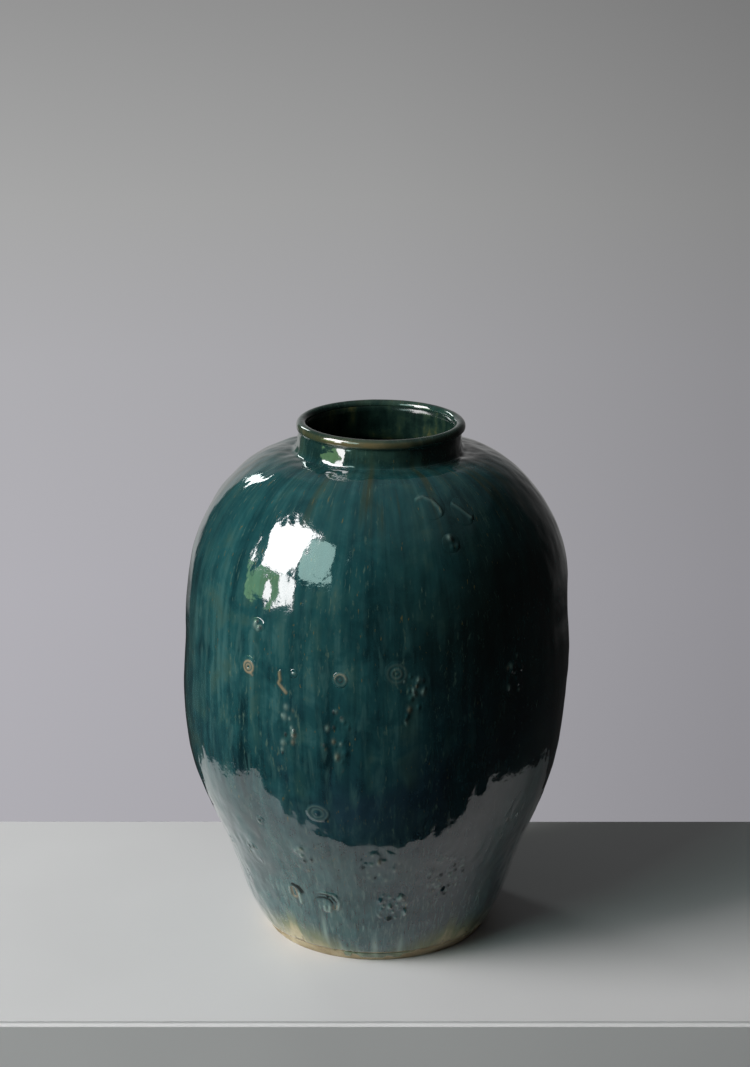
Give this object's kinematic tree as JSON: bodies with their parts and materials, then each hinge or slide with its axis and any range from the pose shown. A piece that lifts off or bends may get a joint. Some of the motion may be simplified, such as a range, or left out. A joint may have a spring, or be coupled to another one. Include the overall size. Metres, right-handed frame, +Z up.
{
  "type": "stoneware vase",
  "caption": "Tall round stoneware vase with a tapered body, high rounded shoulder, short neck and rolled lip, glazed inside and out over a bare clay foot.",
  "frame": {"origin": "centre of the foot, on the surface that the vase stands on", "axes": "+Z up along the vase's axis; the side seen in the reference view faces -Y"},
  "size_m": [0.3, 0.3, 0.409],
  "materials": {
    "clay": "matt",
    "glaze_outside": "gloss",
    "glaze_inside": "gloss"
  },
  "bodies": {
    "root": {"base_disc": "clay", "lower_body": "clay", "upper_body": "clay", "neck_collar": "clay", "rolled_lip": "clay", "glaze_outer": "glaze_outside", "glaze_drips": "glaze_outside", "glaze_inner": "glaze_inside"}
  },
  "joints": []
}
